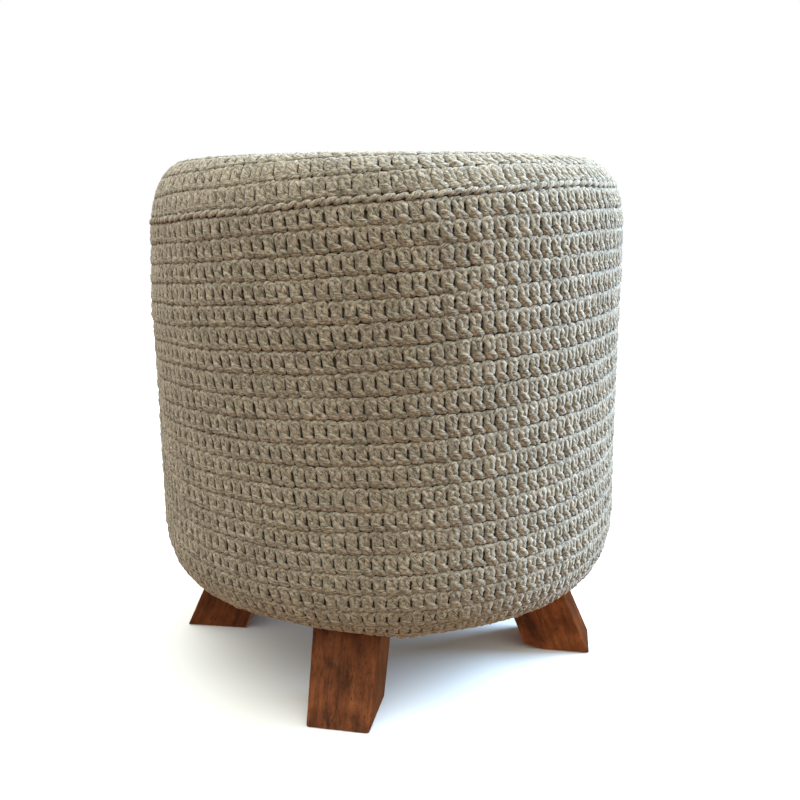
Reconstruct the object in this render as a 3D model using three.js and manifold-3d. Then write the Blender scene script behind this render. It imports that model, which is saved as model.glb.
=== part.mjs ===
// Crochet pouf: a filled drum in a crocheted cover, standing on four splayed wooden legs.
// Millimetres, +Z up. The origin is on the floor under the middle of the drum, and the legs
// stand on the X and Y axes.
import * as THREE from "three";
import { mergeVertices } from "three/addons/utils/BufferGeometryUtils.js";
import Module from "manifold-3d";

// Drum: outer size over the yarn
const DRUM_RADIUS = 200;
const CROWN_HEIGHT = 434;
const CROWN_RISE = 5;
const SHOULDER_WIDTH = 35;
const SHOULDER_DROP = 55;
const SHOULDER_POWER = 2;
const LOWER_WIDTH = 56;
const LOWER_RISE = 69;
const LOWER_POWER = 2.6;
const HEM_HEIGHT = 68;
const HEM_RADIUS = DRUM_RADIUS - LOWER_WIDTH;
const BASE_RADIUS = 90;

// Crochet rounds: the top disc ends in a raised ridge, and the side is worked down from it
const RIDGE_HEIGHT = 391;
const TOP_ROUNDS = 13;
const SIDE_ROUNDS = 25;
const SIDE_ROUND_HEIGHT = 15.4;
const GROOVE_DEPTH = 2.4;
const GROOVE_SHARE = 0.24;
const RIDGE_WIDTH = 6;
const RIDGE_PROUD = 2.6;
const AROUND = 48;

// How far the cover has slipped on the drum, by rounds below the ridge: its rounds lie that much
// lower on the left and on the front of the drum. The front is FRONT_AZIMUTH from -Y towards +X.
const FRONT_AZIMUTH = THREE.MathUtils.degToRad(11);
const SLIP = [
  { round: 0, left: 16, front: -5 },
  { round: 5, left: 16, front: -2 },
  { round: 10, left: 10, front: 7 },
  { round: 16, left: 5, front: 13 },
  { round: 25, left: 4, front: 12 },
];

// Legs: the side outline leans outwards on its way down
const LEG_OUTER_FOOT = 188;
const LEG_INNER_FOOT = 132;
const LEG_THICKNESS = 50;
const LEG_TOP_EXTRA = 6;
const LEG_BLANK_HEIGHT = 90;
const LEG_OUTER_LEAN = Math.tan(THREE.MathUtils.degToRad(24.5));
const LEG_INNER_LEAN = Math.tan(THREE.MathUtils.degToRad(22));
const LEG_EDGE = 1.6;
const SEAT_GAP = 0.3;
const LEGS = [
  { name: "leg_right", turn: 1, heelRun: 16, heelRise: 4 },
  { name: "leg_back", turn: 90, heelRun: 0, heelRise: 0 },
  { name: "leg_left", turn: 182.5, heelRun: 0, heelRise: 0 },
  { name: "leg_front", turn: 269.3, heelRun: 0, heelRise: 0 },
];

const YARN = new THREE.MeshStandardMaterial({ name: "yarn", color: 0xa1978a, roughness: 0.95, metalness: 0 });
const WOOD = new THREE.MeshStandardMaterial({ name: "wood", color: 0x6b3a23, roughness: 0.5, metalness: 0 });

const wasm = await Module();
wasm.setup();

// Quarter of a superellipse as {u, v} from (0, 1) to (1, 0)
function superQuarter(power, steps) {
  return Array.from({ length: steps + 1 }, (_, i) => {
    const angle = (i / steps) * (Math.PI / 2);
    return { u: Math.sin(angle) ** (2 / power), v: Math.cos(angle) ** (2 / power) };
  });
}

// The drum's outline from the middle of the top, over the shoulder, down and in to the middle of the base
function drumOutline() {
  const crownRadius = DRUM_RADIUS - SHOULDER_WIDTH;
  const crownEdge = CROWN_HEIGHT - CROWN_RISE;
  const steps = 40;
  const points = [];
  for (let i = 0; i <= steps; i++) {
    const share = i / steps;
    points.push(new THREE.Vector2(crownRadius * share, CROWN_HEIGHT - CROWN_RISE * share ** 2));
  }
  for (const { u, v } of superQuarter(SHOULDER_POWER, steps).slice(1)) {
    points.push(new THREE.Vector2(crownRadius + SHOULDER_WIDTH * u, crownEdge - SHOULDER_DROP * (1 - v)));
  }
  for (const { u, v } of superQuarter(LOWER_POWER, steps)) {
    points.push(new THREE.Vector2(HEM_RADIUS + LOWER_WIDTH * v, HEM_HEIGHT + LOWER_RISE * (1 - u)));
  }
  points.push(new THREE.Vector2(0, HEM_HEIGHT));
  return points;
}

// The same outline by length along it: position and outward normal at a distance from the top's middle
function alongOutline(points) {
  const lengths = [0];
  for (let i = 1; i < points.length; i++) {
    lengths.push(lengths[i - 1] + points[i].distanceTo(points[i - 1]));
  }
  const segmentAt = (length) => {
    const next = lengths.findIndex((end) => end > length);
    return next < 1 ? points.length - 1 : next;
  };
  const at = (length) => {
    const i = segmentAt(length);
    const share = (length - lengths[i - 1]) / (lengths[i] - lengths[i - 1]);
    const place = points[i - 1].clone().lerp(points[i], share);
    const run = points[i].clone().sub(points[i - 1]).normalize();
    return { place, normal: new THREE.Vector2(-run.y, run.x) };
  };
  const lengthAtHeight = (height) => {
    const i = points.findIndex((point) => point.y < height);
    const share = (points[i - 1].y - height) / (points[i - 1].y - points[i].y);
    return lengths[i - 1] + share * (lengths[i] - lengths[i - 1]);
  };
  return { at, lengthAtHeight };
}

const outline = alongOutline(drumOutline());
const RIDGE_AT = outline.lengthAtHeight(RIDGE_HEIGHT);
const TOP_ROUND_HEIGHT = (RIDGE_AT - RIDGE_WIDTH) / TOP_ROUNDS;

// The cover's slip, as a flat vector, at a distance from the middle of the top disc
function slipAt(distance) {
  const round = THREE.MathUtils.clamp((distance - RIDGE_AT) / SIDE_ROUND_HEIGHT, 0, SLIP.at(-1).round);
  const next = Math.max(1, SLIP.findIndex((row) => row.round >= round));
  const [from, to] = [SLIP[next - 1], SLIP[next]];
  const share = (round - from.round) / (to.round - from.round);
  const left = THREE.MathUtils.lerp(from.left, to.left, share);
  const front = THREE.MathUtils.lerp(from.front, to.front, share);
  const [cos, sin] = [Math.cos(FRONT_AZIMUTH), Math.sin(FRONT_AZIMUTH)];
  return new THREE.Vector2(-left * cos + front * sin, -left * sin - front * cos);
}

// A point of the cover: distance and turn are measured on the crochet from the middle of its top
// disc, and lift is how far the point stands off the drum's outline
function coverPoint(distance, turn, lift) {
  const spread = new THREE.Vector2(Math.cos(turn), Math.sin(turn)).multiplyScalar(distance);
  const flat = spread.add(slipAt(distance));
  const { place, normal } = outline.at(flat.length());
  const radius = place.x + normal.x * lift;
  const azimuth = flat.angle();
  return new THREE.Vector3(radius * Math.cos(azimuth), radius * Math.sin(azimuth), place.y + normal.y * lift);
}

// Rings of one round: the groove above it and the two edges of its flat crown
function roundRings(start, height) {
  const groove = height * GROOVE_SHARE;
  return [
    { distance: start, lift: -GROOVE_DEPTH },
    { distance: start + groove, lift: 0 },
    { distance: start + height - groove, lift: 0 },
  ];
}

// All rings of the cover from the first groove on the top to the edge turned in under the base
function coverRings() {
  const rings = [];
  for (let round = 0; round < TOP_ROUNDS; round++) {
    const pair = roundRings(round * TOP_ROUND_HEIGHT, TOP_ROUND_HEIGHT);
    rings.push(...(round === 0 ? pair.slice(1) : pair));
  }
  rings.push(
    { distance: RIDGE_AT - RIDGE_WIDTH, lift: -GROOVE_DEPTH / 2 },
    { distance: RIDGE_AT - RIDGE_WIDTH / 2, lift: RIDGE_PROUD },
  );
  for (let round = 0; round < SIDE_ROUNDS; round++) {
    rings.push(...roundRings(RIDGE_AT + round * SIDE_ROUND_HEIGHT, SIDE_ROUND_HEIGHT));
  }
  return rings;
}

// Closed surface through a top point, rings of AROUND points each and a bottom point
function ringedGeometry(top, rings, bottom) {
  const points = [top, ...rings.flat(), bottom];
  const faces = [];
  const corner = (ring, step) => 1 + ring * AROUND + (step % AROUND);
  for (let step = 0; step < AROUND; step++) {
    faces.push(0, corner(0, step), corner(0, step + 1));
    for (let ring = 0; ring + 1 < rings.length; ring++) {
      const [a, b] = [corner(ring, step), corner(ring, step + 1)];
      const [c, d] = [corner(ring + 1, step), corner(ring + 1, step + 1)];
      faces.push(a, c, d, a, d, b);
    }
    const last = rings.length - 1;
    faces.push(points.length - 1, corner(last, step + 1), corner(last, step));
  }
  const geometry = new THREE.BufferGeometry().setFromPoints(points);
  geometry.setIndex(faces);
  return geometry;
}

// The filled cover, or the same form grown all over by a clearance
function coverGeometry(clearance) {
  const turns = Array.from({ length: AROUND }, (_, step) => (step / AROUND) * 2 * Math.PI);
  const rings = coverRings().map(({ distance, lift }) =>
    turns.map((turn) => coverPoint(distance, turn, lift + clearance)),
  );
  const baseHeight = HEM_HEIGHT - clearance;
  rings.push(turns.map((turn) => new THREE.Vector3(Math.cos(turn), Math.sin(turn), 0)
    .multiplyScalar(BASE_RADIUS)
    .setZ(baseHeight)));
  return ringedGeometry(coverPoint(0, 0, clearance), rings, new THREE.Vector3(0, 0, baseHeight));
}

// Geometry to solid and back, for cutting
function toSolid(geometry) {
  const bare = geometry.clone();
  bare.deleteAttribute("normal");
  bare.deleteAttribute("uv");
  const merged = mergeVertices(bare, 1e-4);
  return new wasm.Manifold(
    new wasm.Mesh({
      numProp: 3,
      vertProperties: new Float32Array(merged.attributes.position.array),
      triVerts: new Uint32Array(merged.index.array),
    }),
  );
}

function toGeometry(solid) {
  const mesh = solid.getMesh();
  const geometry = new THREE.BufferGeometry();
  geometry.setAttribute("position", new THREE.BufferAttribute(mesh.vertProperties, mesh.numProp));
  geometry.setIndex(new THREE.BufferAttribute(mesh.triVerts, 1));
  return geometry;
}

// A leg's blank with its lean along +X: a rounded-edged block a little thicker at the top than at the foot
function legBlank({ heelRun, heelRise }) {
  const outline = new THREE.Shape();
  outline.moveTo(LEG_OUTER_FOOT, 0);
  outline.lineTo(LEG_OUTER_FOOT - LEG_BLANK_HEIGHT * LEG_OUTER_LEAN, LEG_BLANK_HEIGHT);
  outline.lineTo(LEG_INNER_FOOT - LEG_BLANK_HEIGHT * LEG_INNER_LEAN, LEG_BLANK_HEIGHT);
  outline.lineTo(LEG_INNER_FOOT - heelRise * LEG_INNER_LEAN, heelRise);
  if (heelRise > 0) outline.lineTo(LEG_INNER_FOOT + heelRun, 0);
  outline.closePath();
  const block = new THREE.ExtrudeGeometry(outline, {
    depth: LEG_THICKNESS - 2 * LEG_EDGE,
    bevelThickness: LEG_EDGE,
    bevelSize: LEG_EDGE,
    bevelOffset: -LEG_EDGE,
    bevelSegments: 2,
  });
  block.translate(0, 0, LEG_EDGE - LEG_THICKNESS / 2);
  block.rotateX(Math.PI / 2);
  const position = block.attributes.position;
  for (let i = 0; i < position.count; i++) {
    const spread = 1 + (LEG_TOP_EXTRA / LEG_THICKNESS) * (position.getZ(i) / LEG_BLANK_HEIGHT);
    position.setY(i, position.getY(i) * spread);
  }
  return block;
}

function coverMesh() {
  const mesh = new THREE.Mesh(coverGeometry(0), YARN);
  mesh.name = "cover";
  return mesh;
}

// A leg, its top cut to the underside of the cover
function legMesh(leg) {
  const turn = THREE.MathUtils.degToRad(leg.turn);
  const cover = toSolid(coverGeometry(SEAT_GAP).rotateZ(-turn));
  const mesh = new THREE.Mesh(toGeometry(toSolid(legBlank(leg)).subtract(cover)), WOOD.clone());
  mesh.name = leg.name;
  mesh.rotation.z = turn;
  return mesh;
}

const pouf = new THREE.Group();
pouf.name = "crochet_pouf";
pouf.add(coverMesh());
for (const leg of LEGS) pouf.add(legMesh(leg));

export default pouf;
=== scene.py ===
"""Crochet pouf: yarn worked in rounds over a filled drum, on four splayed wooden legs."""
import math
from collections import namedtuple

import bmesh
import bpy
import numpy as np
from mathutils import Matrix, Vector


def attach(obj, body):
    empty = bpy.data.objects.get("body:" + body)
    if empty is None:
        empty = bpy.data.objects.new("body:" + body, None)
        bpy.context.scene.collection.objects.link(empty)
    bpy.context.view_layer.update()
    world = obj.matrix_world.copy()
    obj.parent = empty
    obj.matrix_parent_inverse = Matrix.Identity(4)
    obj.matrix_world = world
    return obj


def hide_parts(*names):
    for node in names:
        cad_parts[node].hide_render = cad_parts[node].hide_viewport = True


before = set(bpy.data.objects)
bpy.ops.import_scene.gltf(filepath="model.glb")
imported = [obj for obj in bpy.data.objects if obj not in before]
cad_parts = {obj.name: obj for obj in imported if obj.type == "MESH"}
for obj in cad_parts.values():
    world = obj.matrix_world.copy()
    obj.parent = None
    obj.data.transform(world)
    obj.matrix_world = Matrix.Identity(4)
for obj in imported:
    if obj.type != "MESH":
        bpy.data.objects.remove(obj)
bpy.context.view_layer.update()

MM = 0.001
FULL_TURN = 2 * math.pi
RNG = np.random.default_rng(11)

# Drum: outer size over the yarn, in millimetres
DRUM_RADIUS = 200
CROWN_HEIGHT = 434
CROWN_RISE = 5
SHOULDER_WIDTH = 35
SHOULDER_DROP = 55
SHOULDER_POWER = 2
LOWER_WIDTH = 56
LOWER_RISE = 69
LOWER_POWER = 2.6
HEM_HEIGHT = 68
HEM_RADIUS = DRUM_RADIUS - LOWER_WIDTH
CURVE_STEPS = 60
OUTLINE_POINTS = 1600

# The front of the photo, from -Y towards +X
FRONT_AZIMUTH = math.radians(10.9)

# Crochet rounds: the top disc ends in a ridge, and the side is worked down from it
RIDGE_HEIGHT = 391
RIDGE_WIDTH = 5
TOP_ROUNDS = 13
SIDE_ROUNDS = 24
SIDE_ROUND_HEIGHT = 15.4
STITCHES_ROUND = 132
STITCH_WIDTH = 9.5
FIRST_STITCHES = 9

# Where down a top round its stitches are measured, and how narrow they get where the hem draws in
TOP_GAUGE = 0.6
HEM_GAUGE = 0.92

# How the rounds are shared out to pieces
INNER_ROUNDS = 9
ROUNDS_A_PIECE = 6

# How far the cover has slipped on the drum, in millimetres, by rounds below the ridge
Slip = namedtuple("Slip", "round left front")
SLIPS = [
    Slip(0, 16, -5),
    Slip(5, 16, -2),
    Slip(10, 10, 7),
    Slip(16, 5, 13),
    Slip(25, 4, 12),
]

# How far the uneven filling swells the drum's left and right, in millimetres, by rounds below the ridge
Swell = namedtuple("Swell", "round left right")
SWELLS = [
    Swell(-14, 0.5, 0.5),
    Swell(-6, -0.2, 3.0),
    Swell(-2, 2.4, 2.2),
    Swell(0, 1.0, 0.8),
    Swell(2, 1.5, 1.2),
    Swell(5, 3.5, 1.7),
    Swell(8, 1.8, 1.6),
    Swell(12, 1.0, 1.8),
    Swell(17, 0.0, 3.2),
    Swell(20, 0.0, 2.0),
    Swell(22, 0.0, 0.5),
    Swell(25, 0.0, 0.0),
]

# How far the hem hangs down, in millimetres, by degrees round the drum from the front to the right
Sag = namedtuple("Sag", "turn drop")
HEM_SAGS = [
    Sag(-180, 0.4),
    Sag(-120, -0.6),
    Sag(-60, 0.0),
    Sag(-36, -1.5),
    Sag(-27, -3.2),
    Sag(-20, -2.0),
    Sag(-14, -1.2),
    Sag(-8, -0.5),
    Sag(-2, 0.8),
    Sag(4, 3.0),
    Sag(9, 1.5),
    Sag(15, 0.0),
    Sag(70, -0.5),
    Sag(120, 0.3),
    Sag(180, 0.4),
]

# The hem's sag is full from this round down, and fades out over the rounds above it
HEM_ROUND = 22
HEM_SPREAD = 3.5

# Yarn: its radius before it is pressed flat, how much is pressed away, and its twists and fibres a metre
YARN_RADIUS = 2.5
YARN_SIDES = 5
YARN_PRESS = 0.45
TURNS_METRE = 67
FIBRES_METRE = 90

# The yarn's way through one stitch: across and down as shares of the stitch's cell, out in millimetres
Step = namedtuple("Step", "across down out")
STITCH = [
    Step(-0.04, 0.18, 0.9),
    Step(0.14, 0.12, 1.1),
    Step(0.40, 0.11, 0.9),
    Step(0.65, 0.12, 1.2),
    Step(0.78, 0.21, 1.3),
    Step(0.68, 0.35, 1.5),
    Step(0.67, 0.52, 1.4),
    Step(0.61, 0.65, 0.2),
    Step(0.40, 0.66, -1.0),
    Step(0.21, 0.58, 0.0),
    Step(0.29, 0.56, 1.3),
    Step(0.43, 0.63, 1.8),
    Step(0.59, 0.73, 1.8),
    Step(0.77, 0.83, 1.5),
    Step(0.95, 0.885, 1.0),
    Step(0.86, 0.91, 0.1),
    Step(0.58, 0.875, 1.2),
    Step(0.35, 0.83, 1.5),
    Step(0.26, 0.70, 1.1),
    Step(0.29, 0.52, 1.1),
    Step(0.32, 0.35, 1.5),
    Step(0.22, 0.21, 1.2),
    Step(0.42, 0.12, -0.5),
]
YARN_TOP = max(step.out for step in STITCH) + YARN_RADIUS * (1 - YARN_PRESS)

# How far a stitch's foot leans to the right of its head, as a share of its width
LEAN = 0.17

# Yarn that dives through the work is thinner and yarn that bulges is fuller: share for a millimetre out
BULGE = 0.05
BULGE_LEVEL = 1
BULGE_LIMITS = (-2, 1)

# The ridge: one slanted stitch after the other, standing proud of the rounds
RIDGE_STITCH = [
    Step(-0.10, 0.68, 1.3),
    Step(0.20, 0.58, 2.1),
    Step(0.50, 0.43, 2.4),
    Step(0.80, 0.29, 2.2),
    Step(1.08, 0.22, 1.4),
    Step(1.06, 0.42, 0.6),
]
RIDGE_YARN = 0.86

# The top disc's yarn and relief as shares of the side's: low on the flat rounds, higher at the ridge
TOP_YARN = 1.2
TOP_RELIEF = (0.35, 0.5)
FLAT_ROUNDS = 10

# Unevenness of hand work, as spreads: from stitch to stitch, where out is a share, and from step to step
LOOSE = Step(0.02, 0.012, 0.08)
SHAKE = Step(0.015, 0.011, 0.16)
LOOSE_LEAN = 0.035
LOOSE_YARN = 0.04
LUMPS = 0.055

# How far the stitches of a side round drift from those above, in stitches: on average, and as a spread
DRIFT = 0.01
LOOSE_DRIFT = 0.05

# Waves of the lines between rounds: size in millimetres, the range of shares that single waves take of it,
# and how often each of them runs round the drum
WAVE_SIZE = 0.9
WAVE_SHARES = (0.5, 1)
WAVE_COUNTS = (2, 3, 5, 8, 13)

# The filled core: its depth under the yarn, the rings of its mesh, and the rings' places in millimetres
CORE_GAP = 1.0
CORE_LIFT = -YARN_TOP - CORE_GAP
CORE_AROUND = 120
CORE_TOP_RINGS = 30
CORE_SIDE_RINGS = 64
CORE_START = 4
CORE_PAST_HEM = 6
CORE_BASE_RADII = (80, 40, 6)

# The flat map of the stitches: margins of each stitch's cell, as shares of the cell
MARGIN_ALONG = 0.03
MARGIN_AROUND = 0.06

# Lengths and squares below these count as nothing
LEAST_LENGTH = 1e-12
LEAST_SQUARE = 1e-18

# Legs: azimuth of each, in degrees, a share that paints its wood lighter or darker as painted light for how
# much light falls on it, and how far they lean out
Leg = namedtuple("Leg", "turn pale")
LEGS = {
    "leg_right": Leg(1, 1.28),
    "leg_back": Leg(90, 1.0),
    "leg_left": Leg(182.5, 0.74),
    "leg_front": Leg(269.3, 1.05),
}
LEG_LEAN = 23

# Camera, matched to the rounds, the outline and the feet: in metres, its sensor in millimetres
CAMERA_DISTANCE = 0.85
CAMERA_HEIGHT = 0.3966
CAMERA_PITCH = math.radians(11.77)
CAMERA_NEAR = 0.02
SENSOR_WIDTH = 36
FOCAL_PX = 958
AXIS_PX = 386.8
IMAGE_PX = 800

# Floor, in metres
FLOOR_RADIUS = 3.5
FLOOR_HEIGHT = -0.0005

# Window: its place to the right, front and above, what it faces, and its size, in metres
WINDOW_RIGHT = 2.57
WINDOW_FRONT = -0.55
WINDOW_UP = 1.4
WINDOW_FACES = (0, 0, 0.25)
WINDOW_SIZE = 1.7
WINDOW_POWER = 310
WINDOW_COLOUR = (0.515, 0.738, 1.0)

# Room light by height, from straight down to straight up
ROOM_STRENGTH = 3.75
ROOM_FLOOR = (0.21, 0.135, 0.078, 1)
ROOM_LEVEL = (0.0, 0.0, 0.0, 1)
ROOM_CEILING = (0.979, 1.0, 0.93, 1)
ROOM = [
    (0.0, ROOM_FLOOR),
    (0.35, ROOM_FLOOR),
    (0.5, ROOM_LEVEL),
    (1.0, ROOM_CEILING),
]

# Colours, linear
YARN_LIGHT = (0.385, 0.338, 0.264, 1)
YARN_MID = (0.215, 0.185, 0.14, 1)
YARN_DARK = (0.08, 0.066, 0.046, 1)
YARN_FUZZ = (1.0, 0.97, 0.92, 1)
# The core's colours are dark as painted shade in the slits between stitches
INNER_MID = (0.13, 0.105, 0.072, 1)
INNER_DARK = (0.06, 0.047, 0.031, 1)
WOOD_LIGHT = (0.20, 0.066, 0.024)
WOOD_MID = (0.118, 0.037, 0.0135)
WOOD_DARK = (0.047, 0.016, 0.007)


def grey(value):
    return (value, value, value, 1)


def with_painted_light(colour, pale):
    """A wood colour scaled lighter or darker by a leg's share of painted light."""
    return (*(pale * channel for channel in colour), 1)


# Form of the drum

def super_quarter(power):
    """Quarter of a superellipse from (0, 1) to (1, 0)."""
    angle = np.linspace(0, np.pi / 2, CURVE_STEPS + 1)
    return np.sin(angle) ** (2 / power), np.cos(angle) ** (2 / power)


def drum_outline():
    """The outline from the middle of the top to the middle of the base.

    Gives the length along it, its radius and height, and the two parts of its outward normal.
    """
    crown_radius = DRUM_RADIUS - SHOULDER_WIDTH
    crown_edge = CROWN_HEIGHT - CROWN_RISE
    share = np.linspace(0, 1, CURVE_STEPS)
    u, v = super_quarter(SHOULDER_POWER)
    a, b = super_quarter(LOWER_POWER)
    radius = np.concatenate([
        crown_radius * share,
        crown_radius + SHOULDER_WIDTH * u[1:],
        HEM_RADIUS + LOWER_WIDTH * b,
        [0],
    ])
    height = np.concatenate([
        CROWN_HEIGHT - CROWN_RISE * share**2,
        crown_edge - SHOULDER_DROP * (1 - v[1:]),
        HEM_HEIGHT + LOWER_RISE * (1 - a),
        [HEM_HEIGHT],
    ])
    along = np.concatenate([[0], np.cumsum(np.hypot(np.diff(radius), np.diff(height)))])
    even = np.linspace(0, along[-1], OUTLINE_POINTS)
    radius = np.interp(even, along, radius)
    height = np.interp(even, along, height)
    return even, radius, height, -np.gradient(height, even), np.gradient(radius, even)


ALONG, OUT_R, OUT_Z, NORMAL_R, NORMAL_Z = drum_outline()
RIDGE_AT = float(ALONG[np.argmax(OUT_Z < RIDGE_HEIGHT)])
TOP_ROUND_HEIGHT = (RIDGE_AT - RIDGE_WIDTH) / TOP_ROUNDS


def table_at(table, column, key):
    """A column of a table of named rows, read between the rows by their first column."""
    return np.interp(key, [row[0] for row in table], [getattr(row, column) for row in table])


def rounds_below_ridge(distance):
    return (distance - RIDGE_AT) / SIDE_ROUND_HEIGHT


def slip_at(distance):
    """The cover's slip as flat x and y, in millimetres."""
    left = table_at(SLIPS, "left", rounds_below_ridge(distance))
    front = table_at(SLIPS, "front", rounds_below_ridge(distance))
    cos, sin = math.cos(FRONT_AZIMUTH), math.sin(FRONT_AZIMUTH)
    return -left * cos + front * sin, -left * sin - front * cos


def swell_at(rounds, azimuth):
    """How far the filling swells the cover, fading from the left to the right of the drum."""
    share = 0.5 + 0.5 * np.cos(azimuth - FRONT_AZIMUTH)
    return share * table_at(SWELLS, "right", rounds) + (1 - share) * table_at(SWELLS, "left", rounds)


def hem_drop_at(rounds, azimuth):
    """How far the lowest rounds hang down, fading smoothly to nothing above them."""
    turn = np.degrees(azimuth - FRONT_AZIMUTH) + 90
    turn = (turn + 180) % 360 - 180
    share = np.clip((rounds - HEM_ROUND) / HEM_SPREAD + 1, 0, 1)
    return table_at(HEM_SAGS, "drop", turn) * share**2 * (3 - 2 * share)


def cover_point(distance, turn, lift):
    """Points in metres, and outward normals, of the cover at a distance and turn on the crochet."""
    slip_x, slip_y = slip_at(distance)
    x = distance * np.cos(turn) + slip_x
    y = distance * np.sin(turn) + slip_y
    length, azimuth = np.hypot(x, y), np.arctan2(y, x)
    rounds = rounds_below_ridge(length)
    lift = lift + swell_at(rounds, azimuth)
    normal_r, normal_z = np.interp(length, ALONG, NORMAL_R), np.interp(length, ALONG, NORMAL_Z)
    radius = np.interp(length, ALONG, OUT_R) + normal_r * lift
    height = np.interp(length, ALONG, OUT_Z) + normal_z * lift - hem_drop_at(rounds, azimuth)
    cos, sin = np.cos(azimuth), np.sin(azimuth)
    point = np.stack([radius * cos, radius * sin, height], axis=-1) * MM
    return point, np.stack([normal_r * cos, normal_r * sin, normal_z], axis=-1)


# Meshes

def new_mesh(name, points, quads, maps, material):
    """A smooth mesh from arrays of points and four-cornered faces, with named maps given per corner."""
    mesh = bpy.data.meshes.new(name)
    mesh.vertices.add(len(points))
    mesh.vertices.foreach_set("co", points.astype(np.float32).ravel())
    mesh.loops.add(quads.size)
    mesh.loops.foreach_set("vertex_index", quads.astype(np.int32).ravel())
    mesh.polygons.add(len(quads))
    mesh.polygons.foreach_set("loop_start", np.arange(0, quads.size, 4, dtype=np.int32))
    mesh.polygons.foreach_set("use_smooth", np.ones(len(quads), dtype=bool))
    mesh.update(calc_edges=True)
    for map_name, corners in maps.items():
        layer = mesh.uv_layers.new(name=map_name, do_init=False)
        layer.uv.foreach_set("vector", corners.astype(np.float32).ravel())
    mesh.validate()
    mesh.materials.append(material)
    obj = bpy.data.objects.new(name, mesh)
    bpy.context.scene.collection.objects.link(obj)
    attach(obj, "root")
    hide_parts("cover")
    return obj


def dot(a, b):
    return (a * b).sum(-1, keepdims=True)


def unit(v):
    return v / np.maximum(np.linalg.norm(v, axis=-1, keepdims=True), LEAST_LENGTH)


def mirror(v, axis):
    return v - axis * (2 * dot(v, axis) / np.maximum(dot(axis, axis), LEAST_SQUARE))


def carry(side, from_point, from_tangent, to_point, to_tangent):
    """A side vector moved along a path from one point to the next without twisting."""
    step = to_point - from_point
    return mirror(mirror(side, step), to_tangent - mirror(from_tangent, step))


def section_frames(points, normals):
    """Side and cross vectors for the yarn's section at points[stitch, step].

    Each stitch starts with its side vector on the surface normal, and what the carried vector is off by
    at its end is spread along it.
    """
    ring = points.reshape(-1, 3)
    tangent = unit(np.roll(ring, -1, axis=0) - np.roll(ring, 1, axis=0)).reshape(points.shape)
    steps = points.shape[1]
    side = np.empty_like(points)
    side[:, 0] = unit(normals[:, 0] - tangent[:, 0] * dot(normals[:, 0], tangent[:, 0]))
    for i in range(1, steps):
        side[:, i] = carry(side[:, i - 1], points[:, i - 1], tangent[:, i - 1], points[:, i], tangent[:, i])
    next_point, next_tangent, next_side = (np.roll(a[:, 0], -1, axis=0) for a in (points, tangent, side))
    end = carry(side[:, -1], points[:, -1], tangent[:, -1], next_point, next_tangent)
    off = np.arctan2(dot(next_side, np.cross(next_tangent, end)), dot(next_side, end))
    angle = (off * np.arange(steps) / steps)[..., None]
    cross = np.cross(tangent, side)
    return side * np.cos(angle) + cross * np.sin(angle), cross * np.cos(angle) - side * np.sin(angle)


def tube(points, normals, radius):
    """A closed round of yarn through points[stitch, step], pressed flat and a little lumpy.

    Gives its vertices and faces, and the lengths along the yarn at which each face starts and ends.
    """
    side, cross = section_frames(points, normals)
    angle = np.arange(YARN_SIDES)[:, None] / YARN_SIDES * FULL_TURN
    section = side[:, :, None] * np.cos(angle) + cross[:, :, None] * np.sin(angle)
    outward = normals[:, :, None]
    section = section - YARN_PRESS * outward * dot(section, outward)
    lumps = 1 + RNG.normal(0, LUMPS, section.shape[:3] + (1,))
    vertices = (points[:, :, None] + section * lumps * radius[:, :, None, None]).reshape(-1, 3)
    ring = points.reshape(-1, 3)
    step = np.linalg.norm(np.roll(ring, -1, axis=0) - ring, axis=1)
    end = np.repeat(np.cumsum(step), YARN_SIDES)
    start = end - np.repeat(step, YARN_SIDES)
    here, k = np.divmod(np.arange(len(ring) * YARN_SIDES), YARN_SIDES)
    ahead, beside = (here + 1) % len(ring), (k + 1) % YARN_SIDES
    corners = ((here, k), (here, beside), (ahead, beside), (ahead, k))
    quads = np.stack([a * YARN_SIDES + b for a, b in corners], axis=1)
    return vertices, quads, start, end


def corners_of(left, right, low, high):
    """Map corners of faces from their edges, in the order that tube gives its corners."""
    pairs = ((left, low), (left, high), (right, high), (right, low))
    return np.stack([np.stack(pair, axis=1) for pair in pairs], axis=1)


def in_cell(cell, share, cells, margin):
    """The place on a map of a share of the way through one of its cells, inside the cell's margins."""
    return (cell + margin + (1 - 2 * margin) * share) / cells


def flat_map(stitch, step, k, steps):
    """Map corners that lay each stitch out flat in a cell of its own."""
    columns = max(1, int(math.sqrt((stitch[-1] + 1) * YARN_SIDES / steps)))
    row, column = np.divmod(stitch, columns)
    rows = row[-1] + 1
    left, right = (in_cell(column, (step + i) / steps, columns, MARGIN_ALONG) for i in (0, 1))
    low, high = (in_cell(row, (k + i) / YARN_SIDES, rows, MARGIN_AROUND) for i in (0, 1))
    return corners_of(left, right, low, high)


def yarn_mesh(name, tubes, steps, material):
    """Rounds of yarn as one mesh, with a map along the yarn and a map that lays each stitch out flat."""
    sizes = np.cumsum([0] + [len(t[0]) for t in tubes[:-1]])
    vertices = np.concatenate([t[0] for t in tubes])
    quads = np.concatenate([t[1] + first for t, first in zip(tubes, sizes)])
    start, end = (np.concatenate([t[i] for t in tubes]) for i in (2, 3))
    stitch, rest = np.divmod(np.arange(len(quads)), steps * YARN_SIDES)
    step, k = np.divmod(rest, YARN_SIDES)
    along = corners_of(start, end, k / YARN_SIDES, (k + 1) / YARN_SIDES)
    maps = {"Yarn": along, "OFBake": flat_map(stitch, step, k, steps)}
    return new_mesh(name, vertices, quads, maps, material)


# Crochet

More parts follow.
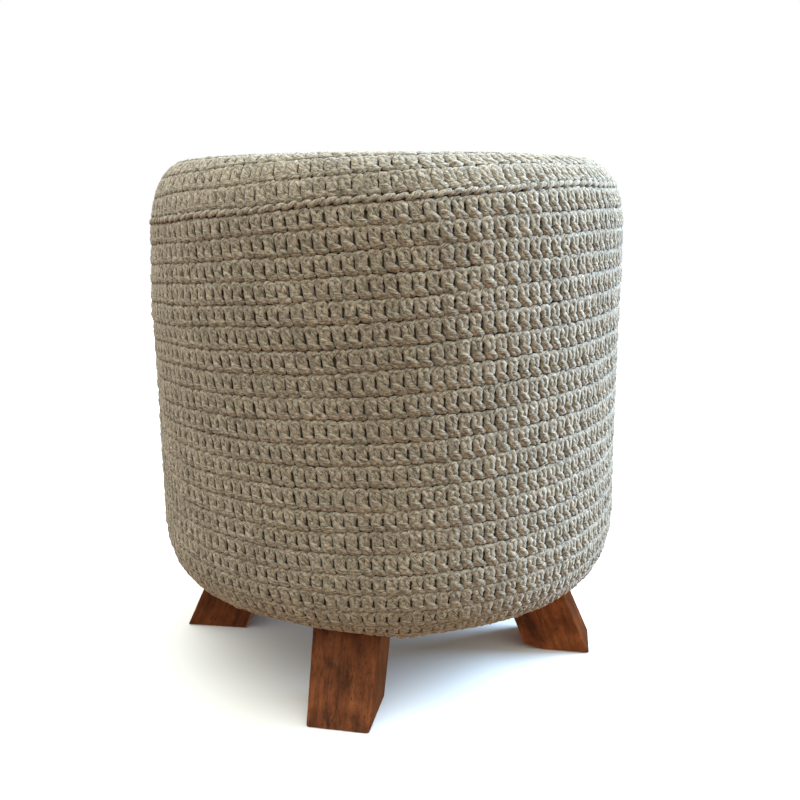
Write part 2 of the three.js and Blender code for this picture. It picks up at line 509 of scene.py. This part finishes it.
class Wave:
    """A smooth uneven wave round the drum, in millimetres."""

    def __init__(self):
        waves = len(WAVE_COUNTS)
        self.phases = RNG.uniform(0, FULL_TURN, waves)
        self.sizes = WAVE_SIZE * RNG.uniform(*WAVE_SHARES, waves) / math.sqrt(waves)

    def at(self, turn):
        return sum(a * np.sin(n * turn + p) for a, n, p in zip(self.sizes, WAVE_COUNTS, self.phases))


Round = namedtuple("Round", "path relief thickness start height stitches phase upper lower")


def top_round(i, upper, lower):
    start = i * TOP_ROUND_HEIGHT
    girth = FULL_TURN * (start + TOP_GAUGE * TOP_ROUND_HEIGHT)
    stitches = max(FIRST_STITCHES, round(girth / STITCH_WIDTH))
    relief = np.interp(i, (FLAT_ROUNDS, TOP_ROUNDS - 1), TOP_RELIEF)
    return Round(STITCH, relief, TOP_YARN, start, TOP_ROUND_HEIGHT, stitches, RNG.uniform(), upper, lower)


def side_round(i, drift, upper, lower):
    start = RIDGE_AT + i * SIDE_ROUND_HEIGHT
    girth = FULL_TURN * np.interp(start + SIDE_ROUND_HEIGHT / 2, ALONG, OUT_R)
    stitches = min(STITCHES_ROUND, round(girth / (HEM_GAUGE * STITCH_WIDTH)))
    return Round(STITCH, 1, 1, start, SIDE_ROUND_HEIGHT, stitches, drift, upper, lower)


def ridge_round(line):
    start = RIDGE_AT - RIDGE_WIDTH
    return Round(RIDGE_STITCH, 1, RIDGE_YARN, start, RIDGE_WIDTH, STITCHES_ROUND, 0, line, line)


def all_rounds():
    """The rounds of the top disc, the ridge and the side. Two rounds share the wave of the line between."""
    waves = [Wave() for _ in range(TOP_ROUNDS + SIDE_ROUNDS + 1)]
    top = [top_round(i, *waves[i:i + 2]) for i in range(TOP_ROUNDS)]
    drifts = np.cumsum(RNG.normal(DRIFT, LOOSE_DRIFT, SIDE_ROUNDS))
    below = waves[TOP_ROUNDS:]
    side = [side_round(i, drifts[i], *below[i:i + 2]) for i in range(SIDE_ROUNDS)]
    return top, ridge_round(below[0]), side


def round_tube(each):
    """One round of stitches, with the small unevenness of hand work."""
    path = Step(*np.array(each.path).T)

    def loose(spread):
        return RNG.normal(0, spread, (each.stitches, 1))

    def shake(spread):
        return RNG.normal(0, spread, (each.stitches, len(each.path)))

    lean = LEAN + loose(LOOSE_LEAN)
    across = path.across + lean * (path.down - 0.5) + loose(LOOSE.across) + shake(SHAKE.across)
    down = path.down + loose(LOOSE.down) + shake(SHAKE.down)
    out = path.out * each.relief * (1 + loose(LOOSE.out)) + shake(SHAKE.out)
    turn = FULL_TURN * (np.arange(each.stitches)[:, None] + across + each.phase) / each.stitches
    wave = (1 - down) * each.upper.at(turn) + down * each.lower.at(turn)
    points, normals = cover_point(each.start + each.height * down + wave, turn, out - YARN_TOP)
    fullness = 1 + BULGE * np.clip(out - BULGE_LEVEL, *BULGE_LIMITS)
    radius = each.thickness * YARN_RADIUS * MM * fullness * (1 + loose(LOOSE_YARN))
    return tube(points, normals, radius)


def yarn_rounds(name, rounds, material):
    return yarn_mesh(name, [round_tube(each) for each in rounds], len(rounds[0].path), material)


def base_ring(radius, turn):
    """A ring of the core's flat base, in metres."""
    height = np.full(len(turn), HEM_HEIGHT - CORE_LIFT)
    return np.stack([radius * np.cos(turn), radius * np.sin(turn), height], axis=1) * MM


def close_holes(obj):
    """Fills the open ends of a mesh and turns its faces outward."""
    mesh = bmesh.new()
    mesh.from_mesh(obj.data)
    bmesh.ops.holes_fill(mesh, edges=[e for e in mesh.edges if e.is_boundary], sides=0)
    bmesh.ops.recalc_face_normals(mesh, faces=mesh.faces)
    mesh.to_mesh(obj.data)
    mesh.free()


def drum_core(material):
    """The filled drum under the stitches: the same form a little inside the yarn, closed at both ends."""
    turn = np.arange(CORE_AROUND) / CORE_AROUND * FULL_TURN
    end = RIDGE_AT + SIDE_ROUNDS * SIDE_ROUND_HEIGHT + CORE_PAST_HEM
    top = np.linspace(CORE_START, RIDGE_AT, CORE_TOP_RINGS)
    side = np.linspace(RIDGE_AT, end, CORE_SIDE_RINGS)[1:]
    points, _ = cover_point(np.concatenate([top, side])[:, None], turn[None], CORE_LIFT)
    points = np.concatenate([points, np.stack([base_ring(radius, turn) for radius in CORE_BASE_RADII])])
    here, k = np.divmod(np.arange((len(points) - 1) * CORE_AROUND), CORE_AROUND)
    beside = (k + 1) % CORE_AROUND
    corners = ((here, k), (here + 1, k), (here + 1, beside), (here, beside))
    quads = np.stack([a * CORE_AROUND + b for a, b in corners], axis=1)
    obj = new_mesh("drum_core", points.reshape(-1, 3), quads, {}, material)
    close_holes(obj)
    return obj


# Materials

def set_stops(ramp, stops):
    """Gives a colour ramp its stops, each a place and a colour."""
    elements = ramp.elements
    while len(elements) < len(stops):
        elements.new(0.5)
    for element, (place, colour) in zip(elements, stops):
        element.position = place
        element.color = colour


class Nodes:
    """Lays out a material's nodes round one principled shader."""

    def __init__(self, name):
        self.material = bpy.data.materials.new(name)
        self.material.use_nodes = True
        self.tree = self.material.node_tree
        self.tree.nodes.clear()
        self.shader = self.add("ShaderNodeBsdfPrincipled")
        self.add("ShaderNodeOutputMaterial", {"Surface": self.shader.outputs[0]})
        self.place = self.add("ShaderNodeTexCoord").outputs["Object"]

    def put(self, node, key, value):
        if isinstance(value, bpy.types.NodeSocket):
            self.tree.links.new(value, node.inputs[key])
        else:
            node.inputs[key].default_value = value

    def add(self, kind, inputs=None, **options):
        node = self.tree.nodes.new(kind)
        for key, value in options.items():
            setattr(node, key, value)
        for key, value in (inputs or {}).items():
            self.put(node, key, value)
        return node

    def shade(self, **values):
        for key, value in values.items():
            self.put(self.shader, key.replace("_", " "), value)

    def math(self, operation, *values):
        return self.add("ShaderNodeMath", dict(enumerate(values)), operation=operation).outputs[0]

    def blend(self, *weighted):
        """A sum of values, each with its weight."""
        total = self.math("MULTIPLY", *weighted[0])
        for value, weight in weighted[1:]:
            total = self.math("MULTIPLY_ADD", value, weight, total)
        return total

    def multiply(self, a, b, factor=1.0):
        node = self.add("ShaderNodeMix", {0: factor, 6: a, 7: b}, data_type="RGBA", blend_type="MULTIPLY")
        return node.outputs[2]

    def noise(self, vector, **values):
        inputs = {key.capitalize(): value for key, value in values.items()}
        return self.add("ShaderNodeTexNoise", {"Vector": vector, **inputs}).outputs["Fac"]

    def mapped(self, vector, **values):
        inputs = {key.capitalize(): value for key, value in values.items()}
        return self.add("ShaderNodeMapping", {"Vector": vector, **inputs}).outputs[0]

    def ramp(self, factor, *stops):
        node = self.add("ShaderNodeValToRGB", {"Fac": factor})
        set_stops(node.color_ramp, stops)
        return node.outputs["Color"]

    def bump(self, height, strength, distance):
        inputs = {"Strength": strength, "Distance": distance, "Height": height}
        self.shade(Normal=self.add("ShaderNodeBump", inputs).outputs[0])


def yarn_material():
    """Heathered yarn: pale and dark fibres along two twisted plies, whose furrows are sunk and darkened as
    painted shade.
    """
    n = Nodes("yarn_heather")
    uv = n.add("ShaderNodeUVMap", uv_map="Yarn").outputs["UV"]
    length, around, _ = n.add("ShaderNodeSeparateXYZ", {0: uv}).outputs
    turn = n.blend((around, FULL_TURN), (length, FULL_TURN * TURNS_METRE))
    cos, sin = n.math("COSINE", turn), n.math("SINE", turn)
    ply = n.math("ABSOLUTE", sin)
    drawn = n.math("MULTIPLY", length, FIBRES_METRE)
    along = n.add("ShaderNodeCombineXYZ", {"X": cos, "Y": sin, "Z": drawn}).outputs[0]
    fibre = n.noise(along, scale=2.2, detail=3.0, roughness=0.65)
    fleck = n.noise(n.place, scale=520.0, detail=3.0, roughness=0.7)
    patch = n.noise(n.place, scale=34.0, detail=3.0, roughness=0.5)
    heather = n.blend((fibre, 0.65), (fleck, 0.35))
    colour = n.ramp(heather, (0.42, YARN_DARK), (0.50, YARN_MID), (0.58, YARN_LIGHT))
    colour = n.multiply(colour, n.ramp(patch, (0.35, grey(0.90)), (0.65, grey(1.06))))
    # Painted shade: the furrows between the plies are darkened
    colour = n.multiply(colour, n.ramp(ply, (0.0, grey(0.84)), (0.35, grey(1.0))))
    n.shade(Base_Color=colour, Roughness=0.92, Specular_IOR_Level=0.18)
    n.shade(Sheen_Weight=0.3, Sheen_Roughness=0.5, Sheen_Tint=YARN_FUZZ)
    n.bump(n.blend((ply, 0.4), (fibre, 0.8), (fleck, 0.5)), strength=0.38, distance=0.0007)
    return n.material


def inner_material():
    """The yarn and filling that show through the slits between stitches, coloured dark as painted shade."""
    n = Nodes("yarn_inner")
    fleck = n.noise(n.place, scale=480.0, detail=3.0, roughness=0.6)
    colour = n.ramp(fleck, (0.36, INNER_DARK), (0.66, INNER_MID))
    n.shade(Base_Color=colour, Roughness=0.97, Specular_IOR_Level=0.08)
    n.bump(fleck, strength=0.5, distance=0.0008)
    return n.material


def wood_material(node, each):
    """Stained wood with its grain along a leg that leans out at its azimuth, its tones scaled by the leg's
    painted light.
    """
    n = Nodes(f"wood_{node}")
    # Each leg's stain is made lighter or darker as painted light
    dark, mid, light = (with_painted_light(colour, each.pale) for colour in (WOOD_DARK, WOOD_MID, WOOD_LIGHT))
    upright = n.mapped(n.place, rotation=(0, 0, -math.radians(each.turn)))
    leg = n.mapped(upright, rotation=(0, math.radians(LEG_LEAN), 0))
    drawn = n.mapped(leg, scale=(1, 1, 0.14))
    short = n.mapped(leg, scale=(1, 1, 0.4))
    grain = n.noise(drawn, scale=300.0, detail=5.0, roughness=0.65, distortion=0.8)
    bands = n.noise(drawn, scale=60.0, detail=3.0, roughness=0.5, distortion=1.2)
    pores = n.noise(short, scale=620.0, detail=2.0, roughness=0.7)
    blotch = n.noise(leg, scale=42.0, detail=4.0, roughness=0.6, distortion=0.4)
    tone = n.blend((grain, 0.35), (bands, 0.25), (blotch, 0.45))
    colour = n.ramp(tone, (0.42, dark), (0.53, mid), (0.66, light))
    colour = n.multiply(colour, n.ramp(pores, (0.32, grey(0.35)), (0.42, grey(1.0))), factor=0.8)
    rough = n.ramp(grain, (0.3, grey(0.66)), (0.7, grey(0.54)))
    n.shade(Base_Color=colour, Roughness=rough, Specular_IOR_Level=0.10)
    n.bump(n.blend((grain, 0.6), (pores, 0.4)), strength=0.25, distance=0.0004)
    return n.material


def floor_material():
    """A plain pale floor, hardly mottled."""
    n = Nodes("floor_pale")
    mottle = n.noise(n.place, scale=3.0, detail=2.0, roughness=0.55)
    colour = n.ramp(mottle, (0.3, grey(0.68)), (0.7, grey(0.71)))
    n.shade(Base_Color=colour, Roughness=0.8, Specular_IOR_Level=0.1)
    return n.material


# Studio

def photo_axes():
    """The photo's right and front, and up."""
    cos, sin = math.cos(FRONT_AZIMUTH), math.sin(FRONT_AZIMUTH)
    return Vector((cos, sin, 0)), Vector((sin, -cos, 0)), Vector((0, 0, 1))


def photo_camera():
    """The camera at the photo's place, with its frame shifted as the photo's is."""
    _, front, up = photo_axes()
    camera = bpy.data.cameras.new("camera")
    camera.sensor_width = SENSOR_WIDTH
    camera.lens = FOCAL_PX / IMAGE_PX * SENSOR_WIDTH
    camera.shift_x = (IMAGE_PX / 2 - AXIS_PX) / IMAGE_PX
    camera.clip_start = CAMERA_NEAR
    view = bpy.data.objects.new("camera", camera)
    forward = -front * math.cos(CAMERA_PITCH) - up * math.sin(CAMERA_PITCH)
    turned = forward.to_track_quat("-Z", "Y").to_matrix().to_4x4()
    view.matrix_world = Matrix.Translation(front * CAMERA_DISTANCE + up * CAMERA_HEIGHT) @ turned
    bpy.context.scene.collection.objects.link(view)
    bpy.context.scene.camera = view


def pale_floor():
    """The floor. The photo's own is cut away, so this one throws no light up on the drum."""
    place = (0, 0, FLOOR_HEIGHT)
    bpy.ops.mesh.primitive_circle_add(vertices=96, radius=FLOOR_RADIUS, fill_type="NGON", location=place)
    floor = bpy.context.object
    floor.name = "floor"
    floor.data.materials.append(floor_material())
    floor.visible_diffuse = False
    floor.visible_glossy = False
    floor.visible_shadow = False


def room_light():
    """Soft light of a room by height, from a warm floor to a pale ceiling. The camera sees plain white."""
    world = bpy.data.worlds.new("studio")
    world.use_nodes = True
    tree = world.node_tree
    room = tree.nodes["Background"]
    kinds = ("TexCoord", "SeparateXYZ", "MapRange", "ValToRGB", "Background", "LightPath", "MixShader")
    place, split, height, ramp, seen, rays, mixed = (tree.nodes.new(f"ShaderNode{kind}") for kind in kinds)
    height.inputs["From Min"].default_value = -1
    room.inputs["Strength"].default_value = ROOM_STRENGTH
    set_stops(ramp.color_ramp, ROOM)
    seen.inputs["Color"].default_value = grey(1)
    link = tree.links.new
    link(place.outputs["Generated"], split.inputs[0])
    link(split.outputs["Z"], height.inputs["Value"])
    link(height.outputs[0], ramp.inputs[0])
    link(ramp.outputs["Color"], room.inputs["Color"])
    link(rays.outputs["Is Camera Ray"], mixed.inputs[0])
    link(room.outputs[0], mixed.inputs[1])
    link(seen.outputs[0], mixed.inputs[2])
    link(mixed.outputs[0], tree.nodes["World Output"].inputs["Surface"])
    bpy.context.scene.world = world


def window_light():
    """Daylight from the right. The legs stand in the drum's shade, lit by the room alone."""
    right, front, up = photo_axes()
    place = right * WINDOW_RIGHT + front * WINDOW_FRONT + up * WINDOW_UP
    data = bpy.data.lights.new("window", "AREA")
    data.size = WINDOW_SIZE
    data.energy = WINDOW_POWER
    data.color = WINDOW_COLOUR
    window = bpy.data.objects.new("window", data)
    window.location = place
    window.rotation_euler = (Vector(WINDOW_FACES) - place).to_track_quat("-Z", "Y").to_euler()
    bpy.context.scene.collection.objects.link(window)
    below = bpy.data.collections.new("below_window")
    for node in LEGS:
        below.objects.link(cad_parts[node])
    for member in below.collection_objects:
        member.light_linking.link_state = "EXCLUDE"
    window.light_linking.receiver_collection = below


def stain_legs_with_painted_light():
    # Each leg gets its own wood, with its painted light
    for node, each in LEGS.items():
        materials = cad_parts[node].data.materials
        materials.clear()
        materials.append(wood_material(node, each))


def cover():
    """The filled drum with its crochet cover."""
    yarn = yarn_material()
    top, ridge, side = all_rounds()
    drum_core(inner_material())
    yarn_rounds("top_inner_rounds", top[:INNER_ROUNDS], yarn)
    yarn_rounds("top_outer_rounds", top[INNER_ROUNDS:], yarn)
    yarn_rounds("ridge", [ridge], yarn)
    for first in range(0, SIDE_ROUNDS, ROUNDS_A_PIECE):
        name = f"side_rounds_{first // ROUNDS_A_PIECE + 1}"
        yarn_rounds(name, side[first:first + ROUNDS_A_PIECE], yarn)


cover()
stain_legs_with_painted_light()
bpy.context.scene.view_settings.view_transform = "Standard"
photo_camera()
pale_floor()
room_light()
window_light()
